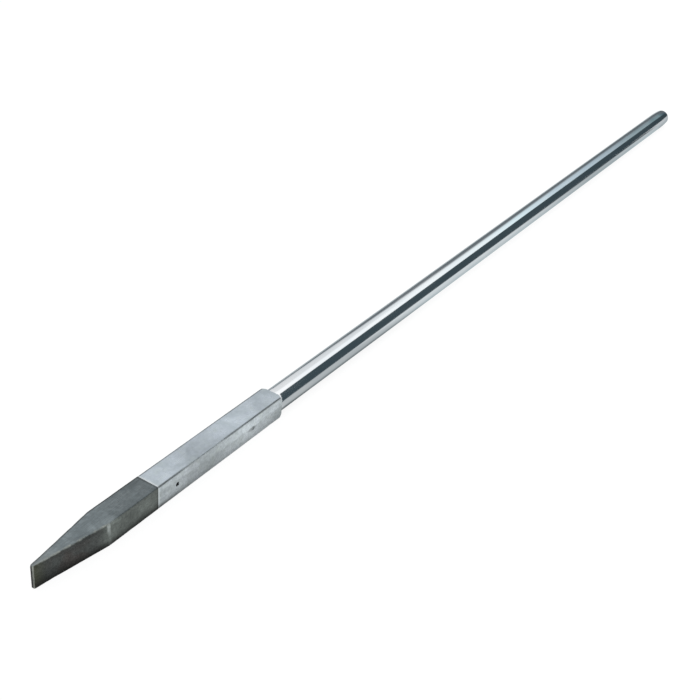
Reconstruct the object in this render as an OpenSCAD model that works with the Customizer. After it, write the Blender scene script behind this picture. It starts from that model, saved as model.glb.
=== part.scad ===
// Long cold chisel: a blade, a square body and a round shank, pinned together.
// The tool lies along X with its cutting edge at -X and its struck face at +X.
// The origin is at the centre of its underside. All sizes are in millimetres.

/* [Overall] */
// Length from the cutting edge to the struck face
total_l = 1384; // [1000:1:1800]
// Width across the flats of the square section, and diameter of the round shank
bar_w = 25; // [22:0.5:32]

/* [Blade] */
// Length of the blade in front of the body
blade_l = 139; // [110:1:180]
// Length over which the two side faces converge
taper_l = 76.5; // [50:0.5:100]
// Length of the two narrow facets ground at the cutting edge
facet_l = 1.3; // [0.8:0.1:3]
// Thickness of the wedge where the facets start
facet_t = 3.1; // [2.5:0.1:5]
// Thickness of the blunt land between the facets
land_t = 1.7; // [0.4:0.1:2.2]
// Radius of the upper and the lower corner of the cutting edge
corner_r = 1.8; // [0.5:0.1:4]

/* [Body] */
// Length of the square body
body_l = 184; // [160:1:220]
// Length of the turned rounding at the rear shoulder
shoulder_l = 4.5; // [2:0.5:8]
// Depth that the turned rounding takes off each corner of the rear face
shoulder_cut = 2.8; // [1:0.1:4]
// Break of the four long edges of the body
body_break = 0.8; // [0.2:0.1:1.5]
// Break of the four long edges of the blade
blade_break = 0.5; // [0.2:0.1:1.5]
// Chamfer around the front rim of the body
rim_break = 0.6; // [0.2:0.1:1.5]

/* [Shank] */
// Length of the rounded taper at the struck end
head_l = 30; // [20:1:100]
// Diameter at the small end of the taper
head_d = 23; // [14:0.5:24]
// Width of the chamfer around the struck face
head_break = 2; // [0.5:0.1:3]

/* [Pinned joints] */
// Diameter of the blade's tang and of the shank's spigot
tang_d = 16; // [12:0.5:17]
// Length of the blade's tang
tang_l = 50; // [40:1:60]
// Length of the shank's spigot
spigot_l = 66; // [50:1:80]
// Distance of the blade's pin behind the front rim
blade_pin_x = 26; // [15:1:35]
// Distance of the shank's pin ahead of the rear shoulder
shank_pin_x = 47; // [20:1:50]
// Diameter of the spring pin and of the dowel
pin_d = 4; // [3:0.5:5]
// Wall thickness of the spring pin
pin_wall = 0.8; // [0.5:0.1:1]
// Width of the slot along the spring pin
pin_slot = 0.9; // [0.5:0.1:1.2]
// Distance of the spring pin's ends below the flats
pin_recess = 0.4; // [0.1:0.1:1]
// Distance of the dowel's ends below the flats, which it is ground down to
dowel_recess = 0.1; // [0.05:0.05:0.5]
// Radial clearance of the tang, the spigot and the pins
fit_gap = 0.05; // [0.02:0.01:0.1]

/* [Hidden] */
$fn = 96;

half_w = bar_w / 2;
corner_radius = half_w * sqrt(2);
front_x = blade_l;
shoulder_x = blade_l + body_l;
head_x = total_l - head_l;
blade_pin_at = front_x + blade_pin_x;
shank_pin_at = shoulder_x - shank_pin_x;
pin_l = bar_w - 2 * pin_recess;
// Chamfer on the ends of the tang, the spigot and the sockets' mouths
lead_in = 1;
// Space left between the end of the tang or spigot and the end of its socket
end_gap = 1.5;
// Half the angle of the drill point that a socket ends in
drill_half_angle = 59;
// Chamfer on the ends of the spring pin and of the dowel
pin_lead = 0.3;
// Number of cones that make up each turned curve
curve_steps = 6;
// How far cutting shapes run past the surface that they cut
over = 1;

// Places a shape that was drawn along X, with the edge at x = 0, in the part's frame
module place() {
    translate([-total_l / 2, 0, half_w])
        children();
}

// Turns a shape that was drawn along Z until it lies along X
module along_x() {
    rotate([0, 90, 0])
        children();
}

// A square with its corners cut at 45 degrees
module broken_square(width, cut) {
    h = width / 2;
    polygon([for (i = [0:3]) for (end = [-1, 1])
        let (a = i * 90, u = h, v = end * (h - cut))
        [u * cos(a) - v * sin(a), u * sin(a) + v * cos(a)]]);
}

// A square bar along X, from x0 to x1
module square_bar(x0, x1, cut) {
    translate([x0, 0, 0])
        rotate([90, 0, 90])
            linear_extrude(height = x1 - x0)
                broken_square(bar_w, cut);
}

// Presses an outline of the tool, seen from the side, through its whole width
module through_y() {
    rotate([90, 0, 0])
        linear_extrude(height = bar_w + 2 * over, center = true)
            children();
}

// Presses an outline of the tool, seen from above, through its whole height
module through_z() {
    linear_extrude(height = bar_w + 2 * over, center = true)
        children();
}

// A blind hole with a chamfered mouth at x = 0 and a drill point, running to +X
module socket(depth) {
    r = tang_d / 2 + fit_gap;
    point_l = r / tan(drill_half_angle);
    along_x()
        rotate_extrude()
            polygon([
                [0, -over], [r + lead_in + over, -over], [r, lead_in],
                [r, depth], [0, depth + point_l]
            ]);
}

// A round bar with a chamfered end, from x = 0 to x = length
module stem(length) {
    r = tang_d / 2;
    along_x()
        rotate_extrude()
            polygon([[0, -over], [r, -over], [r, length - lead_in], [r - lead_in, length], [0, length]]);
}

// The hole that a pin is driven into, right across the tool
module pin_hole(x) {
    translate([x, 0, 0])
        rotate([90, 0, 0])
            cylinder(d = pin_d + 2 * fit_gap, h = bar_w + 2 * over, center = true);
}

// A slotted spring pin, with its slot towards the struck end
module spring_pin(x) {
    r = pin_d / 2;
    half_l = pin_l / 2;
    translate([x, 0, 0])
        rotate([90, 0, 0])
            difference() {
                rotate_extrude()
                    polygon([
                        [r - pin_wall, -half_l], [r - pin_lead, -half_l], [r, pin_lead - half_l],
                        [r, half_l - pin_lead], [r - pin_lead, half_l], [r - pin_wall, half_l]
                    ]);
                translate([0, -pin_slot / 2, -half_l - over])
                    cube([r + over, pin_slot, pin_l + 2 * over]);
            }
}

// A solid dowel with chamfered ends
module dowel(x) {
    r = pin_d / 2;
    half_l = half_w - dowel_recess;
    translate([x, 0, 0])
        rotate([90, 0, 0])
            rotate_extrude()
                polygon([
                    [0, -half_l], [r - pin_lead, -half_l], [r, pin_lead - half_l],
                    [r, half_l - pin_lead], [r - pin_lead, half_l], [0, half_l]
                ]);
}

// The blade seen from above: square at the back, two faces that converge, two facets and a land
module blade_plan() {
    polygon([
        [0, -land_t / 2], [facet_l, -facet_t / 2], [taper_l, -half_w], [front_x, -half_w],
        [front_x, half_w], [taper_l, half_w], [facet_l, facet_t / 2], [0, land_t / 2]
    ]);
}

// The blade seen from the side: a rectangle whose front corners are rounded
module blade_side() {
    translate([corner_r, -half_w])
        square([front_x - corner_r, bar_w]);
    translate([0, corner_r - half_w])
        square([front_x, bar_w - 2 * corner_r]);
    for (side = [-1, 1])
        translate([corner_r, side * (half_w - corner_r)])
            circle(r = corner_r);
}

// Hardened wedge with the round tang that holds it in the body
module blade() {
    color([0.27, 0.28, 0.28])
        place()
            difference() {
                union() {
                    intersection() {
                        square_bar(0, front_x, blade_break);
                        through_z()
                            blade_plan();
                        through_y()
                            blade_side();
                    }
                    translate([front_x, 0, 0])
                        stem(tang_l);
                }
                pin_hole(blade_pin_at);
            }
}

// An outline of the body whose front rim is broken, for either side view
module body_outline() {
    polygon([
        [front_x, -half_w + rim_break], [front_x + rim_break, -half_w], [shoulder_x, -half_w],
        [shoulder_x, half_w], [front_x + rim_break, half_w], [front_x, half_w - rim_break]
    ]);
}

// Points of a turned outline that bends inwards more and more, from radius r at x by a drop over a length
function turned_curve(r, x, drop, length) = [for (i = [0:curve_steps])
    let (share = i / curve_steps)
    [r - drop * share * share, x + length * share]];

// The turned shape that takes the corners off the body's rear shoulder
module shoulder_turning() {
    start_x = shoulder_x - shoulder_l;
    blank = [
        [0, front_x - over], [corner_radius + over, front_x - over], [corner_radius + over, start_x]
    ];
    curve = turned_curve(corner_radius, start_x, shoulder_cut, shoulder_l);
    along_x()
        rotate_extrude()
            polygon(concat(blank, curve, [[0, shoulder_x]]));
}

// Square block that joins the blade to the shank
module body() {
    color([0.68, 0.70, 0.73])
        place()
            difference() {
                intersection() {
                    square_bar(front_x, shoulder_x, body_break);
                    through_z()
                        body_outline();
                    through_y()
                        body_outline();
                    shoulder_turning();
                }
                translate([front_x, 0, 0])
                    socket(tang_l + end_gap);
                translate([shoulder_x, 0, 0])
                    rotate([0, 0, 180])
                        socket(spigot_l + end_gap);
                pin_hole(blade_pin_at);
                pin_hole(shank_pin_at);
            }
}

// Polished round bar with a spigot at its front and a tapered struck end
module shank() {
    r = tang_d / 2;
    tip_x = shoulder_x - spigot_l;
    front = [
        [0, tip_x], [r - lead_in, tip_x], [r, tip_x + lead_in], [r, shoulder_x], [half_w, shoulder_x]
    ];
    curve = turned_curve(half_w, head_x, half_w - head_d / 2, head_l - head_break);
    struck_face = [[head_d / 2 - head_break, total_l], [0, total_l]];
    color([0.80, 0.82, 0.84])
        place()
            difference() {
                along_x()
                    rotate_extrude()
                        polygon(concat(front, curve, struck_face));
                pin_hole(shank_pin_at);
            }
}

// Spring pin through the body and the blade's tang
module blade_pin() {
    color([0.35, 0.35, 0.36])
        place()
            spring_pin(blade_pin_at);
}

// Dowel through the body and the shank's spigot
module shank_pin() {
    color([0.50, 0.51, 0.53])
        place()
            dowel(shank_pin_at);
}

blade();
body();
shank();
blade_pin();
shank_pin();
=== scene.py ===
import math

import bmesh
import bpy
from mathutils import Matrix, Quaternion, Vector, noise


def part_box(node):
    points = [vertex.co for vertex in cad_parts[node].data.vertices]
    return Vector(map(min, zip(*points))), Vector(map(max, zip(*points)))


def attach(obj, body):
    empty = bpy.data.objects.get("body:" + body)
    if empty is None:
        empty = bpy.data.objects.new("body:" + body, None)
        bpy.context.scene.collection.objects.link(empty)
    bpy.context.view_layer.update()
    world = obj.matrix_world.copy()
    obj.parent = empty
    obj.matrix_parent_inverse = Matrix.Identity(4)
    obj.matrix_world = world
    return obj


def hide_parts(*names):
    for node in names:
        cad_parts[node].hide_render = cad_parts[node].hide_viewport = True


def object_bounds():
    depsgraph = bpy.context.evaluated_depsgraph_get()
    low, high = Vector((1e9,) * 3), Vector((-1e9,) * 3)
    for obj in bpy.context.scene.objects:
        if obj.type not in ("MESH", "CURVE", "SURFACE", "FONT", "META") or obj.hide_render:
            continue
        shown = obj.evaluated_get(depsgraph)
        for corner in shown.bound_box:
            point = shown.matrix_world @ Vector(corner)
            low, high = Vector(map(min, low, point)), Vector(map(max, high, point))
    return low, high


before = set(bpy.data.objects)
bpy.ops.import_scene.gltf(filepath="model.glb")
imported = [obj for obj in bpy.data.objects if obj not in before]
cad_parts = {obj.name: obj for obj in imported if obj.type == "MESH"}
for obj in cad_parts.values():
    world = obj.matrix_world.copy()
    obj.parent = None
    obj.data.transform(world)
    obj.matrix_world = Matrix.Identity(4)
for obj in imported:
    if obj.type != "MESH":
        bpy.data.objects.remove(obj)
cad_low, cad_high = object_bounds()

MM = 0.001
DEGREE = math.pi / 180

# ---------------------------------------------------------------------------
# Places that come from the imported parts. The tool lies along X, edge at -X.
# ---------------------------------------------------------------------------
tip = cad_low.x
struck_face = cad_high.x
half = (cad_high.z - cad_low.z) / 2
axis_z = cad_low.z + half
front_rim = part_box("body")[0].x
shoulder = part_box("body")[1].x
tang_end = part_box("blade")[1].x
spigot_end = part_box("shank")[0].x
pin_places = {name: (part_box(name)[0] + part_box(name)[1]) / 2 for name in ("blade_pin", "shank_pin")}
pin_half_lengths = {name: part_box(name)[1].y for name in pin_places}
pin_radius = (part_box("blade_pin")[1].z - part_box("blade_pin")[0].z) / 2

# Shapes of the real tool, in metres
TAPER_LENGTH = 76.5 * MM
FACET_LENGTH = 1.3 * MM
FACET_THICKNESS = 3.1 * MM
LAND_THICKNESS = 1.7 * MM
EDGE_CORNER_RADIUS = 1.8 * MM
BLADE_BREAK = 0.5 * MM
BODY_BREAK = 0.8 * MM
RIM_BREAK = 0.6 * MM
SHOULDER_LENGTH = 4.5 * MM
SHOULDER_CUT = 2.8 * MM
STEM_RADIUS = 8 * MM
SOCKET_CLEARANCE = 0.05 * MM
TANG_ROOT = 3 * MM
LEAD_IN = 1 * MM
SOCKET_SPARE = 1.5 * MM
DRILL_HALF_ANGLE = 59 * DEGREE
FRONT_ROUND_LENGTH = 5.5 * MM
FRONT_ROUND_DEPTH = 0.45 * MM
HEAD_LENGTH = 30 * MM
HEAD_RADIUS = 11.5 * MM
HEAD_BREAK = 2 * MM
PIN_WALL = 0.8 * MM
PIN_SLOT = 0.9 * MM
PIN_LEAD = 0.3 * MM
PIN_MOUTH = 0.25 * MM
DOWEL_MOUTH = 0.02 * MM
OVER = 1 * MM
ROUND_SEGMENTS = 128
SHOULDER_SEGMENTS = 192
STEM_SEGMENTS = 96
PIN_SEGMENTS = 64

# How far the long edges are knocked in, and how far from an edge that reaches
BLADE_NICK = 0.20 * MM
BODY_NICK = 0.12 * MM
NICK_REACH = 0.8 * MM
# What counts as a sharp edge, and how wide those of each piece are softened
SHARP_ANGLE = 24 * DEGREE
BLADE_SOFTNESS = 0.10 * MM
BODY_SOFTNESS = 0.12 * MM
SHANK_SOFTNESS = 0.15 * MM
SPRING_PIN_SOFTNESS = 0.06 * MM
DOWEL_SOFTNESS = 0.05 * MM


# ---------------------------------------------------------------------------
# Camera
# ---------------------------------------------------------------------------
def make_camera():
    """A 62 mm lens that looks down the tool from beyond its edge, rolled a little."""
    aim_behind_rim = 0.31678
    aim_aside = -0.005718
    target = Vector((front_rim + aim_behind_rim, aim_aside, axis_z))
    azimuth, elevation, roll = -59.064 * DEGREE, 32.437 * DEGREE, 5.458 * DEGREE
    distance = 1.306
    back = Vector((
        math.sin(azimuth) * math.cos(elevation),
        -math.cos(azimuth) * math.cos(elevation),
        math.sin(elevation),
    ))
    camera = bpy.data.objects.new("camera", bpy.data.cameras.new("camera"))
    bpy.context.scene.collection.objects.link(camera)
    camera.data.lens = 62.12
    camera.data.sensor_width = 36
    camera.location = target + back * distance
    camera.rotation_mode = "QUATERNION"
    upright = (-back).to_track_quat("-Z", "Y")
    camera.rotation_quaternion = upright @ Quaternion((0, 0, 1), roll)
    bpy.context.scene.camera = camera


# ---------------------------------------------------------------------------
# Node trees
# ---------------------------------------------------------------------------
class Tree:
    """Adds nodes to a node tree. An input is a number, a colour or another node's output."""

    def __init__(self, tree):
        self.tree = tree
        tree.nodes.clear()

    def add(self, kind, inputs, output=0, **settings):
        node = self.tree.nodes.new("ShaderNode" + kind)
        for name, value in settings.items():
            setattr(node, name, value)
        for key, value in inputs.items():
            if isinstance(value, bpy.types.NodeSocket):
                self.tree.links.new(value, node.inputs[key])
            else:
                node.inputs[key].default_value = value
        return node.outputs[output] if node.outputs else None

    def math(self, operation, a, b=0.0):
        return self.add("Math", {0: a, 1: b}, operation=operation)

    def step(self, value, low, high, to_low=0.0, to_high=1.0):
        """A smooth step of value, from to_low at low to to_high at high."""
        inputs = {"Value": value, "From Min": low, "From Max": high, "To Min": to_low, "To Max": to_high}
        return self.add("MapRange", inputs, interpolation_type="SMOOTHSTEP")

    def noise(self, place, scale, detail, roughness, distortion=0.0):
        inputs = {
            "Vector": place, "Scale": scale, "Detail": detail, "Roughness": roughness,
            "Distortion": distortion,
        }
        return self.add("TexNoise", inputs)

    def stretched(self, place, along, across):
        """Coordinates for a pattern whose features are long along X."""
        return self.add("VectorMath", {0: place, 1: (along, across, across)}, operation="MULTIPLY")

    def between(self, share, low, high):
        """A number that is low at share 0 and high at share 1."""
        return self.add("Mix", {0: share, 2: low, 3: high})

    def mix(self, share, a, b, blend_type="MIX"):
        return self.add("Mix", {0: share, 6: a, 7: b}, 2, data_type="RGBA", blend_type=blend_type)

    def painted(self, name):
        """A value from 0 to 1 that was painted on the mesh."""
        return self.add("Attribute", {}, 2, attribute_name=name)

    def tint(self, colour, strength):
        """A colour made darker or lighter by a factor."""
        factor = self.add("CombineColor", {0: strength, 1: strength, 2: strength})
        return self.mix(1.0, colour, factor, "MULTIPLY")

    def bump(self, height, distance, strength, normal=None):
        inputs = {"Height": height, "Distance": distance, "Strength": strength}
        if normal is not None:
            inputs["Normal"] = normal
        return self.add("Bump", inputs)


def new_material(name):
    material = bpy.data.materials.new(name)
    material.use_nodes = True
    return material, Tree(material.node_tree)


def steel(tree, colour, roughness, normal, grazing_tint=(1.0, 1.0, 1.0, 1.0)):
    """Adds a metal surface and the material's output."""
    inputs = {
        "Base Color": colour, "Roughness": roughness, "Normal": normal, "Metallic": 1.0,
        "Specular Tint": grazing_tint,
    }
    surface = tree.add("BsdfPrincipled", inputs)
    tree.add("OutputMaterial", {"Surface": surface})


def grey(value):
    """A neutral grey of that brightness."""
    return (value, value, value, 1.0)


# ---------------------------------------------------------------------------
# Materials
# ---------------------------------------------------------------------------
def coordinates(tree):
    """The place on the surface, and its x, y and z on their own."""
    place = tree.add("TexCoord", {}, 3)
    return [place] + [tree.add("SeparateXYZ", {0: place}, i) for i in range(3)]


def blade_half_width_at(tree, along):
    """Half the blade's thickness behind its facets, as blade_half_width() has it."""
    slope = (half - FACET_THICKNESS / 2) / (TAPER_LENGTH - FACET_LENGTH)
    widening = tree.math("MULTIPLY", tree.math("SUBTRACT", along, tip + FACET_LENGTH), slope)
    return tree.math("MINIMUM", tree.math("ADD", widening, FACET_THICKNESS / 2), half)


def blade_top(tree, along, aside, clouds):
    """The upper face: a grey skin, paler towards the edge, with a painted shade line along its far border
    and painted shade along the near ridge at the kink.
    """
    dark_skin = (0.128, 0.152, 0.162, 1)
    light_skin = (0.185, 0.216, 0.228, 1)
    bare_steel = (0.225, 0.240, 0.236, 1)
    kink = tip + TAPER_LENGTH
    colour = tree.mix(tree.step(clouds, 0.34, 0.68), dark_skin, light_skin)
    colour = tree.tint(colour, tree.step(along, kink - 5 * MM, kink + 22 * MM, 1.15, 0.76))
    colour = tree.mix(tree.step(along, tip, tip + 35 * MM, 0.45, 0.0), colour, bare_steel)

    half_width = blade_half_width_at(tree, along)
    # Painted shade: a dark line inside the top's far border.
    inside_far_border = tree.step(tree.math("SUBTRACT", half_width, aside), 1.0 * MM, 2.4 * MM)
    painted_far_shade = tree.step(along, tip + 25 * MM, tip + 55 * MM, 0.62, 0.42)
    colour = tree.tint(colour, tree.between(inside_far_border, painted_far_shade, 1.0))
    # Painted shade along the near ridge up to the kink, and a little painted light behind it.
    inside_ridge = tree.step(tree.math("ADD", half_width, aside), 1.0 * MM, 8.0 * MM)
    painted_ridge_shading = tree.step(along, kink, kink + 20 * MM, 0.91, 1.06)
    return tree.tint(colour, tree.between(inside_ridge, painted_ridge_shading, 1.0))


def grinding_line_and_highlight(tree, along, height):
    """1 on the slanting bright line where the grinding of a side stopped, partly worn steel and partly a
    painted highlight, weaker towards the ground.
    """
    lean = tree.math("MULTIPLY", tree.math("SUBTRACT", height, axis_z), 0.05)
    centre = tip + TAPER_LENGTH + 0.5 * MM
    distance = tree.math("ABSOLUTE", tree.math("SUBTRACT", tree.math("ADD", along, lean), centre))
    line = tree.step(distance, 0.9 * MM, 2.6 * MM, 1.0, 0.0)
    fade = tree.step(height, axis_z - 0.3 * half, axis_z + 0.75 * half, 0.13, 1.0)
    return tree.math("MULTIPLY", line, fade)


def blade_side(tree, along, height, clouds, patches):
    """A side face: black on the taper, greyer behind it, with painted shade towards the ground and painted
    light and shade under the ridge.
    """
    taper_black = (0.066, 0.071, 0.069, 1)
    rear_grey = (0.126, 0.141, 0.130, 1)
    tip_olive = (0.084, 0.089, 0.056, 1)
    scale_brown = (0.072, 0.060, 0.056, 1)
    ground_and_highlight_grey = (0.300, 0.322, 0.314, 1)
    kink = tip + TAPER_LENGTH
    colour = tree.mix(tree.step(along, kink - 14 * MM, kink + 1 * MM), taper_black, rear_grey)
    colour = tree.mix(tree.step(along, tip, tip + 16 * MM, 0.9, 0.0), colour, tip_olive)
    colour = tree.mix(tree.step(patches, 0.50, 0.66, 0.0, 0.75), colour, scale_brown)

    # Painted shade: the side darker towards the ground.
    light = tree.step(height, axis_z - 0.97 * half, axis_z - 0.3 * half, 0.22, 0.80)
    # Painted shade under the ridge on the taper, and painted light just behind the kink.
    under_ridge = tree.step(height, axis_z + 0.45 * half, axis_z + 0.8 * half)
    ridge_light = tree.step(along, kink - 12 * MM, kink, 0.56, 1.0)
    fading = tree.step(along, kink + 6 * MM, kink + 26 * MM, 1.25, 1.0)
    ridge_light = tree.math("MULTIPLY", ridge_light, fading)
    light = tree.math("MULTIPLY", light, tree.between(under_ridge, 1.0, ridge_light))
    light = tree.math("MULTIPLY", light, tree.step(clouds, 0.3, 0.7, 0.82, 1.18))
    # The bright line at the kink: partly ground steel, partly a painted highlight.
    return tree.mix(grinding_line_and_highlight(tree, along, height), tree.tint(colour, light), ground_and_highlight_grey)


def blade_skin(tree, place, along, top, side, marks):
    """The two kinds of face together, with grinding marks, mottling and a dark rear border."""
    facing_up = tree.add("SeparateXYZ", {0: tree.add("NewGeometry", {}, 3)}, 2)
    on_flat = tree.step(tree.math("ABSOLUTE", facing_up), 0.45, 0.8)
    mottle = tree.noise(place, 330.0, 3.0, 0.65, 0.3)
    grain = tree.noise(place, 900.0, 3.0, 0.6)
    grain_grey = (0.24, 0.25, 0.24, 1)
    colour = tree.mix(on_flat, side, top)
    colour = tree.tint(colour, tree.step(marks, 0.3, 0.7, 0.80, 1.18))
    side_mottle = tree.step(mottle, 0.3, 0.7, 0.80, 1.20)
    top_mottle = tree.step(mottle, 0.3, 0.7, 0.91, 1.09)
    colour = tree.tint(colour, tree.between(on_flat, side_mottle, top_mottle))
    colour = tree.mix(tree.step(grain, 0.35, 0.75, 0.0, 0.16), colour, grain_grey)
    return tree.tint(colour, tree.step(along, front_rim - 2.6 * MM, front_rim - 1.2 * MM, 1.0, 0.70))


def blade_material():
    """Heat-blackened tool steel: lighter on top, dark on the ground sides, bare on the worn edges, with
    painted shade and a painted highlight on some edges.
    """
    material, tree = new_material("blackened_steel")
    place, along, aside, height = coordinates(tree)
    worn = tree.painted("worn")
    clouds = tree.noise(place, 60.0, 5.0, 0.6, 0.4)
    patches = tree.noise(place, 27.0, 3.0, 0.5, 0.8)
    marks = tree.noise(tree.stretched(place, 60.0, 1400.0), 1.0, 4.0, 0.65)
    top = blade_top(tree, along, aside, clouds)
    side = blade_side(tree, along, height, clouds, patches)
    skin = blade_skin(tree, place, along, top, side, marks)

    rubbed_and_highlight_steel = (0.29, 0.305, 0.285, 1)
    facet_steel = (0.40, 0.405, 0.365, 1)
    soot_and_shade_black = (0.012, 0.013, 0.013, 1)
    land_black = (0.018, 0.018, 0.018, 1)
    kink = tip + TAPER_LENGTH
    # Bright steel on the facets and on the near upper edge, whose line is partly bare steel and partly a
    # painted highlight.
    broken = tree.step(tree.noise(place, 170.0, 4.0, 0.65), 0.35, 0.62)
    bare = tree.math("MAXIMUM", broken, tree.step(worn, 0.8, 1.0, 0.0, 0.65))
    bare = tree.math("MULTIPLY", worn, bare)
    bare = tree.math("MULTIPLY", bare, tree.step(along, kink, kink + 10 * MM, 1.0, 0.0))
    facet = tree.step(worn, 0.85, 1.0)
    facet = tree.math("MULTIPLY", facet, tree.step(clouds, 0.35, 0.6, 0.45, 0.9))
    bright = tree.mix(facet, rubbed_and_highlight_steel, facet_steel)
    colour = tree.mix(tree.math("MAXIMUM", bare, facet), skin, bright)
    # Near-black long edges: partly black skin, partly painted shade.
    colour = tree.mix(tree.painted("soot_and_shade"), colour, soot_and_shade_black)
    colour = tree.mix(tree.painted("blunt"), colour, land_black)

    rough = tree.step(clouds, 0.3, 0.7, 0.42, 0.30)
    rough = tree.math("ADD", rough, tree.step(marks, 0.3, 0.7, -0.05, 0.08))
    rough = tree.math("ADD", rough, tree.math("MULTIPLY", worn, 0.15))
    normal = tree.bump(marks, 0.05 * MM, 0.5)
    normal = tree.bump(clouds, 0.25 * MM, 0.4, normal)
    steel(tree, colour, rough, normal)
    return material


def turned_shoulder(tree, place, along):
    """1 on the curve that is turned at the rear of the body."""
    across = tree.add("VectorMath", {0: place, 1: (0, 0, axis_z)}, operation="SUBTRACT")
    across = tree.add("VectorMath", {0: across, 1: (0, 1, 1)}, operation="MULTIPLY")
    radius = tree.add("VectorMath", {0: across}, 1, operation="LENGTH")
    inputs = {"Value": along, "From Min": shoulder - SHOULDER_LENGTH, "From Max": shoulder}
    share = tree.add("MapRange", inputs)
    drop = tree.math("MULTIPLY", tree.math("POWER", share, 2.0), SHOULDER_CUT)
    outline = tree.math("SUBTRACT", half * math.sqrt(2), drop)
    return tree.step(tree.math("SUBTRACT", radius, outline), -0.30 * MM, -0.12 * MM)


def dowel_smudge(tree, place, unevenness):
    """1 in the dull patch that grinding the dowel flush has left around its end."""
    centre = (pin_places["shank_pin"].x - 1 * MM, 0, axis_z)
    per_radius = (1 / (8 * MM), 0, 1 / (2.6 * MM))
    offset = tree.add("VectorMath", {0: place, 1: centre}, operation="SUBTRACT")
    offset = tree.add("VectorMath", {0: offset, 1: per_radius}, operation="MULTIPLY")
    distance = tree.add("VectorMath", {0: offset}, 1, operation="LENGTH")
    ragged = tree.math("MULTIPLY", tree.math("SUBTRACT", unevenness, 0.5), 0.9)
    return tree.step(tree.math("ADD", distance, ragged), 0.45, 1.15, 1.0, 0.0)


def painted_light_strip(tree, along, height, wander):
    """How light the body is, as painted light: paler above a wandering border on its sides than below it,
    and paler still further back.
    """
    foot_low = axis_z + 0.10 * half
    foot_high = axis_z + 0.40 * half
    foot = tree.step(along, front_rim + 20 * MM, front_rim + 70 * MM, foot_high, foot_low)
    above_foot = tree.math("SUBTRACT", tree.math("ADD", height, wander), foot)
    light = tree.step(along, front_rim + 60 * MM, front_rim + 95 * MM, 1.12, 1.24)
    return tree.between(tree.step(above_foot, -1 * MM, 2.5 * MM), 0.93, light)


def dull_middle(tree, along, wander):
    """How light the body is along its length: duller in a ragged zone before its middle."""
    wandering = tree.math("ADD", along, wander)
    from_centre = tree.math("ABSOLUTE", tree.math("SUBTRACT", wandering, front_rim + 72 * MM))
    return tree.step(from_centre, 12 * MM, 52 * MM, 0.80, 1.0)


def dark_edges(tree, along, streaks):
    """How strongly the long edges keep their dark skin: not where the body is rubbed most."""
    from_rubbed = tree.math("ABSOLUTE", tree.math("SUBTRACT", along, front_rim + 66 * MM))
    unrubbed = tree.step(from_rubbed, 12 * MM, 44 * MM, 0.0, 1.0)
    uneven = tree.math("MULTIPLY", unrubbed, tree.step(streaks, 0.30, 0.60, 1.0, 0.7))
    return tree.math("MULTIPLY", tree.painted("edge"), uneven)


def far_border_shade_line(tree, aside, on_top):
    """1 on the thin painted shade line along the far border of the top."""
    from_border = tree.math("SUBTRACT", half, tree.math("ABSOLUTE", aside))
    line = tree.math("MULTIPLY", on_top, tree.step(from_border, 1.1 * MM, 2.6 * MM, 1.0, 0.0))
    return tree.math("MULTIPLY", line, tree.step(aside, 0.0, half))


def body_bloom(tree, clouds, bloom, streaks):
    """The mottled grey of the flats."""
    dark_satin = (0.345, 0.390, 0.425, 1)
    light_satin = (0.420, 0.468, 0.518, 1)
    green_bloom = (0.40, 0.455, 0.445, 1)
    streak_grey = (0.31, 0.34, 0.37, 1)
    colour = tree.mix(tree.step(clouds, 0.30, 0.68), dark_satin, light_satin)
    colour = tree.mix(tree.step(bloom, 0.42, 0.75, 0.0, 0.40), colour, green_bloom)
    return tree.mix(tree.step(streaks, 0.55, 0.75, 0.0, 0.35), colour, streak_grey)


def shaded_body(tree, colour, along, height, on_top, flecks):
    """The body's colour with flecks, warmer sides and a bright front rim, with painted light along the
    sides, painted shade along the top towards the shoulder, and painted shade at the foot near the rim.
    """
    warm = (1.03, 0.988, 0.945, 1)
    neutral = (1.0, 1.0, 1.0, 1)
    rim_bright = (0.60, 0.64, 0.65, 1)
    # Painted light and shade: the sides lighter and the top darker further back.
    painted_light_top = tree.step(along, front_rim + 110 * MM, shoulder - 25 * MM, 1.0, 0.84)
    painted_light_side = tree.step(along, front_rim + 40 * MM, front_rim + 100 * MM, 1.0, 1.16)
    colour = tree.tint(colour, tree.between(on_top, painted_light_side, painted_light_top))
    side_flecks = tree.step(flecks, 0.3, 0.7, 0.86, 1.14)
    top_flecks = tree.step(flecks, 0.3, 0.7, 0.95, 1.05)
    colour = tree.tint(colour, tree.between(on_top, side_flecks, top_flecks))
    colour = tree.mix(1.0, colour, tree.mix(on_top, warm, neutral), "MULTIPLY")
    by_rim = tree.step(along, front_rim + 1.0 * MM, front_rim + 2.8 * MM, 0.55, 0.0)
    colour = tree.mix(by_rim, colour, rim_bright)
    # Painted shade at the foot of the sides near the front rim, turning to painted light further back.
    foot_shade = tree.step(along, front_rim, front_rim + 60 * MM, 0.34, 1.25)
    above_foot = tree.step(height, axis_z - 0.95 * half, axis_z - 0.5 * half)
    return tree.tint(colour, tree.between(above_foot, foot_shade, 1.0))


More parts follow.
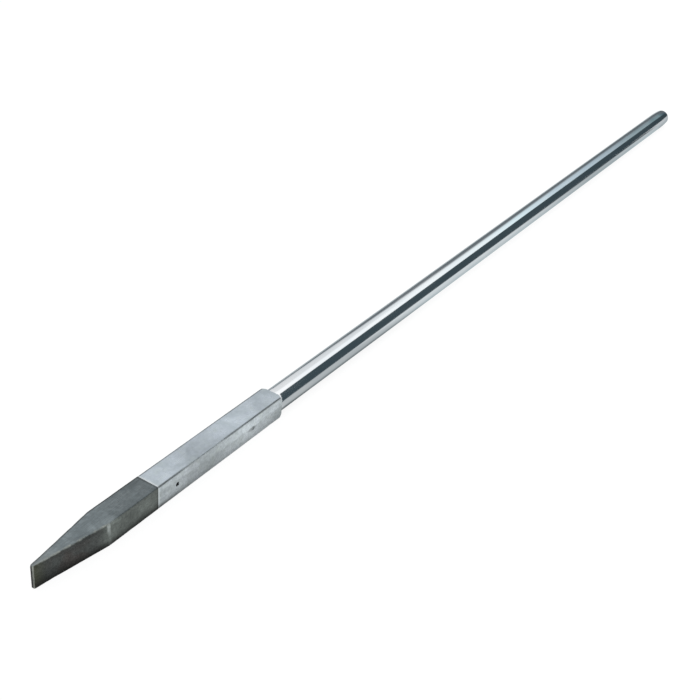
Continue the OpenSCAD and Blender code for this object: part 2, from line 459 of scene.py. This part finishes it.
def body_material():
    """Satin mild steel: milled flats with a mottled bloom and faint lines along the bar."""
    material, tree = new_material("satin_steel")
    place, along, aside, height = coordinates(tree)
    clouds = tree.noise(place, 45.0, 5.0, 0.62, 0.6)
    bloom = tree.noise(place, 150.0, 4.0, 0.6, 0.3)
    flecks = tree.noise(place, 380.0, 3.0, 0.6, 0.4)
    lines = tree.noise(tree.stretched(place, 18.0, 1500.0), 1.0, 3.0, 0.6)
    streaks = tree.noise(tree.stretched(place, 25.0, 260.0), 1.0, 4.0, 0.6, 0.3)
    wander = tree.math("MULTIPLY", tree.math("SUBTRACT", streaks, 0.5), 9 * MM)
    on_top = tree.step(height, axis_z + 0.97 * half, axis_z + 0.99 * half)

    edge_dark = (0.15, 0.165, 0.172, 1)
    rim_steel = (0.66, 0.69, 0.71, 1)
    turned_steel = (0.70, 0.735, 0.76, 1)
    colour = body_bloom(tree, clouds, bloom, streaks)
    # Painted light: the body paler above a wandering border on its sides.
    colour = tree.tint(colour, painted_light_strip(tree, along, height, wander))
    colour = tree.tint(colour, dull_middle(tree, along, wander))
    colour = shaded_body(tree, colour, along, height, on_top, flecks)
    colour = tree.tint(colour, tree.between(dowel_smudge(tree, place, bloom), 1.0, 0.62))
    colour = tree.mix(dark_edges(tree, along, streaks), colour, edge_dark)
    # A painted shade line along the far border of the top.
    colour = tree.tint(colour, tree.between(far_border_shade_line(tree, aside, on_top), 1.0, 0.52))
    colour = tree.mix(tree.math("MULTIPLY", tree.painted("worn"), 0.8), colour, rim_steel)
    colour = tree.mix(turned_shoulder(tree, place, along), colour, turned_steel)

    rough = tree.step(clouds, 0.3, 0.7, 0.36, 0.27)
    rough = tree.math("ADD", rough, tree.step(lines, 0.3, 0.7, -0.03, 0.05))
    rough = tree.math("ADD", rough, tree.math("MULTIPLY", tree.painted("edge"), 0.15))
    normal = tree.bump(lines, 0.03 * MM, 0.5)
    normal = tree.bump(clouds, 0.25 * MM, 0.4, normal)
    steel(tree, colour, rough, normal)
    return material


def shank_material():
    """Bright drawn bar, polished along its length, with fine lines and smudges."""
    material, tree = new_material("polished_steel")
    place = tree.add("TexCoord", {}, 3)
    lines = tree.noise(tree.stretched(place, 9.0, 1300.0), 1.0, 3.0, 0.6)
    smudges = tree.noise(tree.stretched(place, 14.0, 60.0), 1.0, 5.0, 0.62, 0.5)
    scratches = tree.noise(tree.stretched(place, 3.0, 2600.0), 1.0, 2.0, 0.5)

    smudged = (0.60, 0.63, 0.655, 1)
    clean = (0.66, 0.675, 0.69, 1)
    scratched = (0.42, 0.44, 0.46, 1)
    grazing_tint = (0.45, 0.5, 0.52, 1)
    colour = tree.mix(tree.step(smudges, 0.35, 0.7), smudged, clean)
    colour = tree.mix(tree.step(scratches, 0.70, 0.90, 0.0, 0.2), colour, scratched)
    rough = tree.step(smudges, 0.35, 0.75, 0.055, 0.13)
    rough = tree.math("ADD", rough, tree.step(lines, 0.4, 0.7, 0.0, 0.05))
    normal = tree.bump(lines, 0.006 * MM, 0.4)
    steel(tree, colour, rough, normal, grazing_tint)
    return material


def pin_material(name, dark, light):
    """Oiled pin steel, darker where the oil has gathered."""
    material, tree = new_material(name)
    place = tree.add("TexCoord", {}, 3)
    film = tree.noise(place, 420.0, 4.0, 0.6, 0.4)
    lines = tree.noise(tree.stretched(place, 3000.0, 900.0), 1.0, 3.0, 0.6)
    colour = tree.mix(tree.step(film, 0.35, 0.7), dark, light)
    rough = tree.step(film, 0.3, 0.7, 0.30, 0.48)
    normal = tree.bump(lines, 0.02 * MM, 0.4)
    steel(tree, colour, rough, normal)
    return material


def floor_material():
    """Pale matt paper with a barely visible unevenness. Its glow keeps it white round the tool."""
    material, tree = new_material("pale_paper")
    place = tree.add("TexCoord", {}, 3)
    cloud = tree.noise(place, 3.0, 3.0, 0.5)
    colour = tree.mix(tree.step(cloud, 0.3, 0.7), grey(0.115), grey(0.120))
    inputs = {"Base Color": colour, "Roughness": 0.9, "Specular IOR Level": 0.0}
    inputs.update({"Emission Color": grey(1.0), "Emission Strength": 0.89})
    surface = tree.add("BsdfPrincipled", inputs)
    tree.add("OutputMaterial", {"Surface": surface})
    return material


# ---------------------------------------------------------------------------
# Mesh helpers
# ---------------------------------------------------------------------------
def to_object(name, mesh):
    """Closes a bmesh into an object whose faces look outwards and are smooth."""
    bmesh.ops.recalc_face_normals(mesh, faces=mesh.faces[:])
    for face in mesh.faces:
        face.smooth = True
    data = bpy.data.meshes.new(name)
    mesh.to_mesh(data)
    mesh.free()
    made = bpy.data.objects.new(name, data)
    bpy.context.scene.collection.objects.link(made)
    return made


def loft(name, rings):
    """A closed skin through rings of points that all have the same count."""
    mesh = bmesh.new()
    rows = [[mesh.verts.new(point) for point in ring] for ring in rings]
    count = len(rows[0])
    for near, far in zip(rows, rows[1:]):
        for i in range(count):
            j = (i + 1) % count
            mesh.faces.new((near[i], near[j], far[j], far[i]))
    mesh.faces.new(rows[0])
    mesh.faces.new(rows[-1])
    return to_object(name, mesh)


def lathe(name, profile, origin, direction, segments=ROUND_SEGMENTS):
    """A solid of revolution from (distance along, radius) pairs; a radius of 0 is a point on the axis."""
    along = Vector(direction).normalized()
    side = along.orthogonal().normalized()
    other = along.cross(side)
    mesh = bmesh.new()
    rows = []
    for distance, radius in profile:
        centre = Vector(origin) + along * distance
        if radius == 0:
            rows.append([mesh.verts.new(centre)])
            continue
        turns = [2 * math.pi * i / segments for i in range(segments)]
        spokes = [side * math.cos(t) + other * math.sin(t) for t in turns]
        rows.append([mesh.verts.new(centre + spoke * radius) for spoke in spokes])
    for near, far in zip(rows, rows[1:]):
        for i in range(segments):
            j = (i + 1) % segments
            corners = [near[i % len(near)], near[j % len(near)], far[j % len(far)], far[i % len(far)]]
            mesh.faces.new(list(dict.fromkeys(corners)))
    return to_object(name, mesh)


def settle(made):
    """Makes what an object's modifiers do part of its own mesh."""
    graph = bpy.context.evaluated_depsgraph_get()
    result = bpy.data.meshes.new_from_object(made.evaluated_get(graph))
    made.modifiers.clear()
    old = made.data
    made.data = result
    bpy.data.meshes.remove(old)


def combine(made, tool, operation):
    """Cuts tool from made, or adds or intersects it, and removes tool."""
    modifier = made.modifiers.new("combine", "BOOLEAN")
    modifier.operation = operation
    modifier.object = tool
    modifier.solver = "EXACT"
    settle(made)
    bpy.data.meshes.remove(tool.data)


def tidy_mesh(made):
    """Welds the slivers that cutting leaves."""
    sliver = 0.002 * MM
    mesh = bmesh.new()
    mesh.from_mesh(made.data)
    bmesh.ops.remove_doubles(mesh, verts=mesh.verts[:], dist=sliver)
    bmesh.ops.dissolve_degenerate(mesh, edges=mesh.edges[:], dist=sliver)
    for face in mesh.faces:
        face.smooth = True
    mesh.to_mesh(made.data)
    mesh.free()


def soften(made, width):
    """Rounds every sharp edge by a hair, as a file or a wire brush does."""
    tidy_mesh(made)
    bevel = made.modifiers.new("soft_edges", "BEVEL")
    bevel.width = width
    bevel.segments = 2
    bevel.limit_method = "ANGLE"
    bevel.angle_limit = SHARP_ANGLE
    settle(made)
    weighted = made.modifiers.new("flat_shading", "WEIGHTED_NORMAL")
    weighted.keep_sharp = True


def paint(made, name, value_at):
    """Stores a value from 0 to 1 at each vertex, for the material to read."""
    layer = made.data.attributes.new(name, "FLOAT", "POINT")
    layer.data.foreach_set("value", [value_at(v.co) for v in made.data.vertices])


def hand_over(made, node, material):
    """Puts a finished piece in place of its CAD node."""
    made.data.materials.clear()
    made.data.materials.append(material)
    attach(made, "root")
    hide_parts(node)


def smooth_share(value, low, high):
    share = min(1.0, max(0.0, (value - low) / (high - low)))
    return share * share * (3 - 2 * share)


def spread(start, end, count):
    return [start + (end - start) * i / count for i in range(count + 1)]


# ---------------------------------------------------------------------------
# Square bar
# ---------------------------------------------------------------------------
def flat_places(length):
    """Points along a flat: close together at its ends, where it wears, and wider apart between."""
    near = [0, 0.4 * MM, 1.2 * MM, 3 * MM]
    scale = min(1.0, length / (9 * MM))
    left = [place * scale for place in near]
    middle = [length * share for share in (0.35, 0.5, 0.65)]
    return left + middle + [length - place for place in reversed(left)]


def section(x, half_y, half_z, cut):
    """One ring round a rectangle with cut corners, looking along X."""
    ring = []
    sides = [((1, 0), (0, 1)), ((0, 1), (-1, 0)), ((-1, 0), (0, -1)), ((0, -1), (1, 0))]
    for out, run in sides:
        reach = half_y if out[0] else half_z
        length = 2 * ((half_z if out[0] else half_y) - cut)
        for place in flat_places(length):
            y = out[0] * reach + run[0] * (place - length / 2)
            z = out[1] * reach + run[1] * (place - length / 2)
            ring.append(Vector((x, y, axis_z + z)))
    return ring


def cross_hole(pin, mouth):
    """The hole for a pin, right across the tool, with its mouths broken by that much."""
    radius = pin_radius + SOCKET_CLEARANCE
    profile = [
        (-half - OVER, 0), (-half - OVER, radius + mouth + OVER), (mouth - half, radius),
        (half - mouth, radius), (half + OVER, radius + mouth + OVER), (half + OVER, 0),
    ]
    centre = pin_places[pin]
    return lathe("hole", profile, (centre.x, 0, axis_z), (0, 1, 0), PIN_SEGMENTS)


def stem(start, end):
    """The blade's round tang, from inside the blade to its chamfered end."""
    length = end - start
    profile = [
        (0, 0), (0, STEM_RADIUS), (length - LEAD_IN, STEM_RADIUS), (length, STEM_RADIUS - LEAD_IN),
        (length, 0),
    ]
    return lathe("stem", profile, (start, 0, axis_z), (1, 0, 0), STEM_SEGMENTS)


# ---------------------------------------------------------------------------
# Blade
# ---------------------------------------------------------------------------
def blade_half_width(run):
    """Half the blade's thickness at a distance from the edge."""
    facet, land = FACET_THICKNESS / 2, LAND_THICKNESS / 2
    if run <= FACET_LENGTH:
        return land + (facet - land) * run / FACET_LENGTH
    share = min(1.0, (run - FACET_LENGTH) / (TAPER_LENGTH - FACET_LENGTH))
    return facet + (half - facet) * share


def blade_half_height(run):
    """Half the blade's height at a distance from the edge, with its two round corners."""
    r = EDGE_CORNER_RADIUS
    if run >= r:
        return half
    return half - r + math.sqrt(r * r - (r - run) ** 2)


def blade_break(run):
    """Chamfer of the blade's long edges, which is smaller at the cutting edge."""
    return BLADE_BREAK * (0.3 + 0.7 * smooth_share(run, 1 * MM, 14 * MM))


def blade_runs():
    """Distances from the edge at which the blade has a ring of points."""
    corner = [EDGE_CORNER_RADIUS * (1 - math.cos(i * math.pi / 16)) for i in range(9)]
    near_facet = [FACET_LENGTH - 0.1 * MM, FACET_LENGTH, FACET_LENGTH + 0.1 * MM]
    kink = [TAPER_LENGTH + d * MM for d in (-1.6, -0.9, -0.35, 0, 0.35, 0.9, 1.6)]
    blade_length = front_rim - tip
    front = spread(2.4 * MM, TAPER_LENGTH - 2.6 * MM, 36)
    rear = spread(TAPER_LENGTH + 3 * MM, blade_length - 1.4 * MM, 28)
    end = [blade_length - 0.5 * MM, blade_length]
    return sorted(set([0.1 * MM] + corner + near_facet + front + kink + rear + end))


def nick(point, depth):
    """How far a long edge is knocked in at a point: mostly nothing, with a few dents."""
    coarse_along, coarse_across = 90, 40
    fine_along, fine_across = 420, 60
    coarse = noise.noise(Vector((point.x * coarse_along, point.y * coarse_across, point.z * coarse_across)))
    fine = noise.noise(Vector((point.x * fine_along, point.y * fine_across, point.z * fine_across)))
    return depth * (max(0.0, coarse - 0.1) + 0.6 * max(0.0, fine - 0.25))


def edge_distance(point, half_y, half_z, cut):
    """How far a point of a section is from the nearest broken long edge."""
    return max(half_y - abs(point.y), half_z - abs(point.z - axis_z)) - cut


def knock_edges(made, size_at, depth):
    """Moves points near the long edges inwards by a small uneven amount."""
    for vertex in made.data.vertices:
        point = vertex.co
        half_y, half_z, cut = size_at(point.x)
        near = 1 - smooth_share(edge_distance(point, half_y, half_z, cut), 0, NICK_REACH)
        if near <= 0:
            continue
        inward = Vector((0, -math.copysign(1, point.y), -math.copysign(1, point.z - axis_z)))
        vertex.co = point + inward * nick(point, depth) * near


def blade_size_at(x):
    run = max(0.0, x - tip)
    return blade_half_width(run), blade_half_height(run), blade_break(run)


def blade_edge(point, reach):
    """1 on the blade's long edges, falling to 0 that far from them."""
    half_y, half_z, cut = blade_size_at(point.x)
    return 1 - smooth_share(edge_distance(point, half_y, half_z, cut), 0, reach)


def on_near_ridge(point):
    """Whether a point of the blade belongs to its near upper edge."""
    return point.y < 0 and point.z > axis_z


def blade_wear_and_highlight(point):
    """1 on the ground facets, and a little less on the one long edge that is rubbed bare, whose bright line
    is partly a painted highlight.
    """
    if point.x > front_rim:
        return 0.0
    half_y = blade_size_at(point.x)[0]
    on_side = 1 - smooth_share(half_y - abs(point.y), 0.05 * MM, 0.3 * MM)
    facet = (1 - smooth_share(point.x - tip, FACET_LENGTH, FACET_LENGTH + 0.25 * MM)) * on_side
    rubbed_and_highlight = 0.8 * blade_edge(point, 1.2 * MM) if on_near_ridge(point) else 0.0
    return max(rubbed_and_highlight, facet)


def blade_soot_and_shade(point):
    """1 on the long edges, painted near black: partly a thick black skin, partly painted shade; the near
    upper one has little, behind the taper.
    """
    if point.x > front_rim:
        return 0.0
    run = point.x - tip
    if on_near_ridge(point):
        return 0.14 * blade_edge(point, 0.8 * MM) * smooth_share(run - TAPER_LENGTH, 8 * MM, 20 * MM)
    return blade_edge(point, 0.5 * MM) * smooth_share(run, FACET_LENGTH, 2 * FACET_LENGTH)


def blade_land(point):
    """1 on the blunt land at the very edge."""
    return 1 - smooth_share(point.x - tip, 0.05 * MM, 0.2 * MM)


def make_blade():
    """Wedge with its tang and the spring pin's hole."""
    rings = []
    for run in blade_runs():
        size = (blade_half_width(run), blade_half_height(run), blade_break(run))
        rings.append(section(tip + run, *size))
    made = loft("blade_steel", rings)
    knock_edges(made, blade_size_at, BLADE_NICK)
    combine(made, stem(front_rim - TANG_ROOT, tang_end), "UNION")
    combine(made, cross_hole("blade_pin", PIN_MOUTH), "DIFFERENCE")
    soften(made, BLADE_SOFTNESS)
    paint(made, "worn", blade_wear_and_highlight)
    paint(made, "blunt", blade_land)
    paint(made, "soot_and_shade", blade_soot_and_shade)
    hand_over(made, "blade", blade_material())


# ---------------------------------------------------------------------------
# Body
# ---------------------------------------------------------------------------
def socket(mouth, direction, stem_length):
    """A drilled blind hole with a chamfered mouth."""
    r = STEM_RADIUS + SOCKET_CLEARANCE
    depth = stem_length + SOCKET_SPARE
    point_length = r / math.tan(DRILL_HALF_ANGLE)
    profile = [
        (-OVER, 0), (-OVER, r + LEAD_IN + OVER), (LEAD_IN, r), (depth, r), (depth + point_length, 0),
    ]
    return lathe("socket", profile, (mouth, 0, axis_z), (direction, 0, 0), STEM_SEGMENTS)


def shoulder_envelope():
    """A bar with a rounded end: what is left of the body after its rear corners are turned off."""
    corner = half * math.sqrt(2)
    length = shoulder - front_rim
    start = length - SHOULDER_LENGTH
    profile = [(-OVER, 0), (-OVER, corner + OVER), (start, corner + OVER)]
    for share in spread(0, 1, 12):
        profile.append((start + SHOULDER_LENGTH * share, corner - SHOULDER_CUT * share ** 2))
    profile.append((length, 0))
    return lathe("envelope", profile, (front_rim, 0, axis_z), (1, 0, 0), SHOULDER_SEGMENTS)


def body_size_at(x):
    inset = max(0.0, front_rim + RIM_BREAK - x)
    return half - inset, half - inset, BODY_BREAK


def body_wear(point):
    """1 on the freshly cut front rim, less on its sides than on its top."""
    rim = 1 - smooth_share(point.x - front_rim, RIM_BREAK, RIM_BREAK + 0.5 * MM)
    return rim * (0.4 + 0.6 * smooth_share(point.z - axis_z, 0.85 * half, 0.95 * half))


def body_edge(point):
    """1 on the long edges, which keep the darker skin of the bar."""
    reach = 0.8 * MM if point.z > axis_z else 0.3 * MM
    strength = 1.0 if point.z > axis_z else 0.4
    return strength * (1 - smooth_share(edge_distance(point, half, half, BODY_BREAK), 0.05 * MM, reach))


def make_body():
    """Square block with a socket at each end and the holes of both pins."""
    places = [front_rim, front_rim + RIM_BREAK, front_rim + RIM_BREAK + 0.5 * MM]
    places += spread(front_rim + 3 * MM, shoulder - SHOULDER_LENGTH - 3 * MM, 60)
    places += [shoulder - SHOULDER_LENGTH, shoulder]
    rings = [section(x, *body_size_at(x)) for x in places]
    made = loft("body_block", rings)
    knock_edges(made, body_size_at, BODY_NICK)
    combine(made, shoulder_envelope(), "INTERSECT")
    combine(made, socket(front_rim, 1, tang_end - front_rim), "DIFFERENCE")
    combine(made, socket(shoulder, -1, shoulder - spigot_end), "DIFFERENCE")
    combine(made, cross_hole("blade_pin", PIN_MOUTH), "DIFFERENCE")
    combine(made, cross_hole("shank_pin", DOWEL_MOUTH), "DIFFERENCE")
    soften(made, BODY_SOFTNESS)
    paint(made, "worn", body_wear)
    paint(made, "edge", body_edge)
    hand_over(made, "body", body_material())


# ---------------------------------------------------------------------------
# Shank
# ---------------------------------------------------------------------------
def dent_struck_face(made):
    """Crowns the struck face a little and presses a few shallow hammer marks into it."""
    marks_per_metre = 260
    mark_depth = 0.45 * MM
    crown_height = 0.25 * MM
    for vertex in made.data.vertices:
        offset = vertex.co - Vector((struck_face, 0, axis_z))
        if offset.x < -HEAD_BREAK * 0.5:
            continue
        place = Vector((offset.y, offset.z, 0)) * marks_per_metre
        press = max(0.0, noise.noise(place) + 0.1) * mark_depth
        crown = crown_height * (offset.yz.length / HEAD_RADIUS) ** 2
        vertex.co.x -= press + crown


def shank_profile():
    """The shank's outline from its spigot's end: spigot, rounded front, bar, taper and struck face."""
    rear = struck_face - HEAD_LENGTH
    rim = HEAD_RADIUS - HEAD_BREAK
    profile = [(0, 0), (0, STEM_RADIUS - LEAD_IN), (LEAD_IN, STEM_RADIUS)]
    seat = shoulder - spigot_end
    profile += [(seat - 0.05 * MM, STEM_RADIUS), (seat, STEM_RADIUS)]
    for share in spread(0, 1, 7):
        profile.append((seat + FRONT_ROUND_LENGTH * share, half - FRONT_ROUND_DEPTH * (1 - share) ** 2))
    straight = rear - spigot_end
    profile += [(x, half) for x in spread(seat + FRONT_ROUND_LENGTH + 1 * MM, straight - 1 * MM, 34)]
    taper_end = struck_face - spigot_end - HEAD_BREAK
    for share in spread(0, 1, 14):
        radius = half + (HEAD_RADIUS - half) * share ** 2
        profile.append((straight + (taper_end - straight) * share, radius))
    for turn in (18 * DEGREE, 36 * DEGREE, 54 * DEGREE, 72 * DEGREE):
        along = taper_end + HEAD_BREAK * math.sin(turn)
        profile.append((along, HEAD_RADIUS - HEAD_BREAK * (1 - math.cos(turn))))
    face_at = struck_face - spigot_end
    profile += [(face_at, rim * (1 - share)) for share in spread(0, 1, 12)[:-1]]
    profile.append((face_at, 0))
    return profile


def make_shank():
    """Turned bar with its spigot, cross-drilled and dented at the struck face."""
    made = lathe("shank_bar", shank_profile(), (spigot_end, 0, axis_z), (1, 0, 0))
    combine(made, cross_hole("shank_pin", DOWEL_MOUTH), "DIFFERENCE")
    dent_struck_face(made)
    soften(made, SHANK_SOFTNESS)
    hand_over(made, "shank", shank_material())


# ---------------------------------------------------------------------------
# Pins
# ---------------------------------------------------------------------------
def make_spring_pin(name, material):
    """A rolled tube with a slot along it, whose ends are chamfered outside."""
    centre = pin_places[name]
    inner = pin_radius - PIN_WALL
    segments = 56
    gap = math.asin(PIN_SLOT / 2 / pin_radius)
    reach = pin_half_lengths[name]
    ends = [(-reach, PIN_LEAD), (PIN_LEAD - reach, 0), (-reach / 3, 0)]
    ends += [(-y, cut) for y, cut in reversed(ends)]
    turns = spread(gap, 2 * math.pi - gap, segments)
    rings = []
    for y, cut in ends:
        outside = [(math.cos(t) * (pin_radius - cut), math.sin(t) * (pin_radius - cut)) for t in turns]
        inside = [(math.cos(t) * inner, math.sin(t) * inner) for t in reversed(turns)]
        rings.append([Vector((centre.x + u, y, axis_z + v)) for u, v in outside + inside])
    made = loft(name + "_sleeve", rings)
    soften(made, SPRING_PIN_SOFTNESS)
    hand_over(made, name, material)


def make_dowel(name, material):
    """A solid pin whose slightly domed ends are ground down almost to the flats."""
    centre = pin_places[name]
    reach = pin_half_lengths[name]
    dome = [(0, 0), (0.02 * MM, 0.8 * MM), (0.08 * MM, 1.5 * MM), (0.16 * MM, pin_radius - 0.12 * MM)]
    outline = dome + [(0.32 * MM, pin_radius), (reach / 2, pin_radius)]
    profile = [(along - reach, radius) for along, radius in outline]
    profile += [(reach - along, radius) for along, radius in reversed(outline)]
    made = lathe(name + "_dowel", profile, (centre.x, 0, axis_z), (0, 1, 0), PIN_SEGMENTS)
    soften(made, DOWEL_SOFTNESS)
    hand_over(made, name, material)


# ---------------------------------------------------------------------------
# Floor and studio
# ---------------------------------------------------------------------------
def make_floor():
    reach = 15
    mesh = bmesh.new()
    bmesh.ops.create_grid(mesh, x_segments=8, y_segments=8, size=reach)
    floor = to_object("floor", mesh)
    floor.location.z = cad_low.z
    floor.data.materials.append(floor_material())


def card_outline():
    """The card's corners: its rear border runs under the tool and turns away from it near its end."""
    left, right, front = tip - 0.908, struck_face + 6.608, -9.0
    under_tool = -0.003
    turning = [(-0.032, under_tool), (-0.022, -0.014), (0.208, -0.16), (1.308, -0.71), (6.608, -3.6)]
    rear = [(left, under_tool)] + [(struck_face + past, y) for past, y in turning]
    return rear + [(right, front), (left, front)]


def changing(tree, along, changes):
    """1, times each factor behind its end; start and end are distances from the shoulder along X."""
    value = 1.0
    for start, end, factor in changes:
        step = tree.step(along, shoulder + start, shoulder + end, 1.0, factor)
        value = tree.math("MULTIPLY", step, value)
    return value


def card_material():
    """Glowing card: pale next to the tool, with a painted shadow where it touches it, and dark further out.
    """
    material, tree = new_material("shaded_card")
    pale_glow = (0.97, 1.0, 1.0, 1)
    dark_glow = (0.07, 0.10, 0.115, 1)
    place = tree.add("TexCoord", {}, 3)
    along = tree.add("SeparateXYZ", {0: place}, 0)
    out = tree.math("MULTIPLY", tree.add("SeparateXYZ", {0: place}, 1), -1.0)
    narrowing = (along, shoulder + 0.469, shoulder + 0.819)
    pale_until = tree.step(*narrowing, 0.060, 0.020)
    dark_from = tree.step(*narrowing, 0.30, 0.130)
    changes = [(-0.051, 0.029, 0.74), (0.169, 0.309, 1.47), (0.549, 0.789, 0.82), (0.819, 0.989, 1.25)]
    pale = changing(tree, along, changes)
    # Painted shadow where the card touches the tool.
    contact_shadow = tree.step(along, shoulder + 0.009, shoulder + 0.069, 0.45, 0.68)
    contact_shadow = tree.math("MULTIPLY", contact_shadow, changing(tree, along, [(0.169, 0.369, 1.65)]))
    pale = tree.math("MULTIPLY", pale, tree.between(tree.step(out, half, 20 * MM), contact_shadow, 1.0))
    glow = tree.mix(tree.step(out, pale_until, dark_from), tree.tint(pale_glow, pale), dark_glow)
    surface = tree.add("Emission", {"Color": glow, "Strength": 1.0})
    tree.add("OutputMaterial", {"Surface": surface})
    return material


def make_low_card():
    """A card on the floor in front of the tool, which only the steel mirrors."""
    mesh = bmesh.new()
    above_floor = cad_low.z + 0.3 * MM
    mesh.faces.new([mesh.verts.new((x, y, above_floor)) for x, y in card_outline()])
    card = to_object("low_card", mesh)
    card.data.materials.append(card_material())
    card.visible_camera = False
    card.visible_diffuse = False
    card.visible_shadow = False


def set_stops(ramp, stops):
    """Sets a colour ramp from (position, colour) pairs."""
    while len(ramp.elements) < len(stops):
        ramp.elements.new(1.0)
    for element, (position, colour) in zip(ramp.elements, stops):
        element.position = position
        element.color = (*colour, 1)


def panel_front(tree, toward_head, around):
    """1 behind the panel's front edge. Half way along the room that edge hangs down to the floor."""
    edge = tree.step(toward_head, 0.785, 0.83, 67 * DEGREE, 70 * DEGREE)
    gap_to_head = tree.step(toward_head, 0.50, 0.62)
    gap_to_tip = tree.step(toward_head, 0.0, 0.2, 0.85, 0.0)
    edge = tree.math("MULTIPLY", edge, tree.math("MAXIMUM", gap_to_head, gap_to_tip))
    return tree.step(tree.math("SUBTRACT", around, edge), -3 * DEGREE, 3 * DEGREE)


def panel_rear(tree, toward_head, away, up):
    """1 above the panel's rear edge, whose height changes along the tool, and everywhere in front."""
    edge = tree.step(toward_head, 0.66, 0.78, 0.03, 0.36)
    edge = tree.math("SUBTRACT", edge, tree.step(toward_head, 0.80, 0.88, 0.0, 0.13))
    edge = tree.math("ADD", edge, tree.step(toward_head, -0.1, 0.1, 0.40, 0.0))
    above = tree.step(tree.math("SUBTRACT", up, edge), 0.04, 0.23)
    return tree.math("MAXIMUM", above, tree.math("LESS_THAN", away, 0.0))


def panel_light(tree, toward_head, around):
    """The panel's colour: white, bluer and darker towards the head, and brightest at its front edge."""
    overhead = tree.step(around, 92 * DEGREE, 112 * DEGREE, 1.45, 1.13)
    overhead = tree.math("MAXIMUM", overhead, tree.step(toward_head, 0.72, 0.78, 1.0, 1.42))
    share = tree.add("MapRange", {"Value": toward_head, "From Min": 0.7, "From Max": 1.0})
    fade = tree.add("ValToRGB", {"Fac": share})
    stops = [
        (0.0, (1.0, 1.0, 1.0)), (0.35, (0.97, 1.0, 1.0)), (0.44, (0.86, 0.98, 1.0)),
        (0.51, (0.59, 0.69, 0.75)), (0.57, (0.54, 0.63, 0.69)), (0.61, (0.43, 0.50, 0.54)),
        (0.633, (0.29, 0.37, 0.375)), (0.66, (0.20, 0.29, 0.31)), (0.78, (0.09, 0.135, 0.165)),
        (0.90, (0.06, 0.09, 0.11)),
    ]
    set_stops(fade.node.color_ramp, stops)
    return tree.tint(fade, overhead)


def make_studio():
    """A soft panel overhead with a straight front edge, a dark gap in front and a dim wall behind."""
    world = bpy.data.worlds.new("studio")
    bpy.context.scene.world = world
    world.use_nodes = True
    tree = Tree(world.node_tree)
    direction = tree.add("TexCoord", {}, 0)
    toward_head, away, up = [tree.add("SeparateXYZ", {0: direction}, i) for i in range(3)]
    around = tree.math("ARCTAN2", up, tree.math("MULTIPLY", away, -1.0))
    panel = tree.math(
        "MULTIPLY", panel_front(tree, toward_head, around), panel_rear(tree, toward_head, away, up),
    )

    gap_dark = (0.07, 0.10, 0.115, 1)
    wall_dim = (0.28, 0.30, 0.315, 1)
    floor_pale = grey(0.9)
    background = grey(1.0)
    wall = tree.mix(tree.step(away, -0.1, 0.1), gap_dark, wall_dim)
    room = tree.mix(panel, wall, panel_light(tree, toward_head, around))
    horizon = tree.step(toward_head, 0.890, 0.899, 0.0, 0.06)
    room = tree.mix(tree.math("LESS_THAN", up, horizon), room, floor_pale)
    seen = tree.add("LightPath", {}, 0)
    colour = tree.mix(seen, room, background)
    tree.add("OutputWorld", {"Surface": tree.add("Background", {"Color": colour, "Strength": 1.0})})


def make_fill_light():
    """A wide soft light above that brightens the floor and isn't mirrored in the steel."""
    data = bpy.data.lights.new("fill", "AREA")
    data.shape = "DISK"
    data.size = 6
    data.energy = 60
    fill = bpy.data.objects.new("fill", data)
    bpy.context.scene.collection.objects.link(fill)
    fill.location = (0, 0, 4)
    fill.visible_glossy = False
    fill.visible_camera = False


make_camera()
bpy.context.scene.view_settings.view_transform = "Standard"
make_floor()
make_low_card()
make_studio()
make_fill_light()
make_blade()
make_body()
make_shank()
black_steel = pin_material("black_spring_steel", (0.02, 0.021, 0.022, 1), (0.06, 0.062, 0.064, 1))
ground_steel = pin_material("ground_dowel_steel", (0.20, 0.215, 0.22, 1), (0.31, 0.33, 0.34, 1))
make_spring_pin("blade_pin", black_steel)
make_dowel("shank_pin", ground_steel)
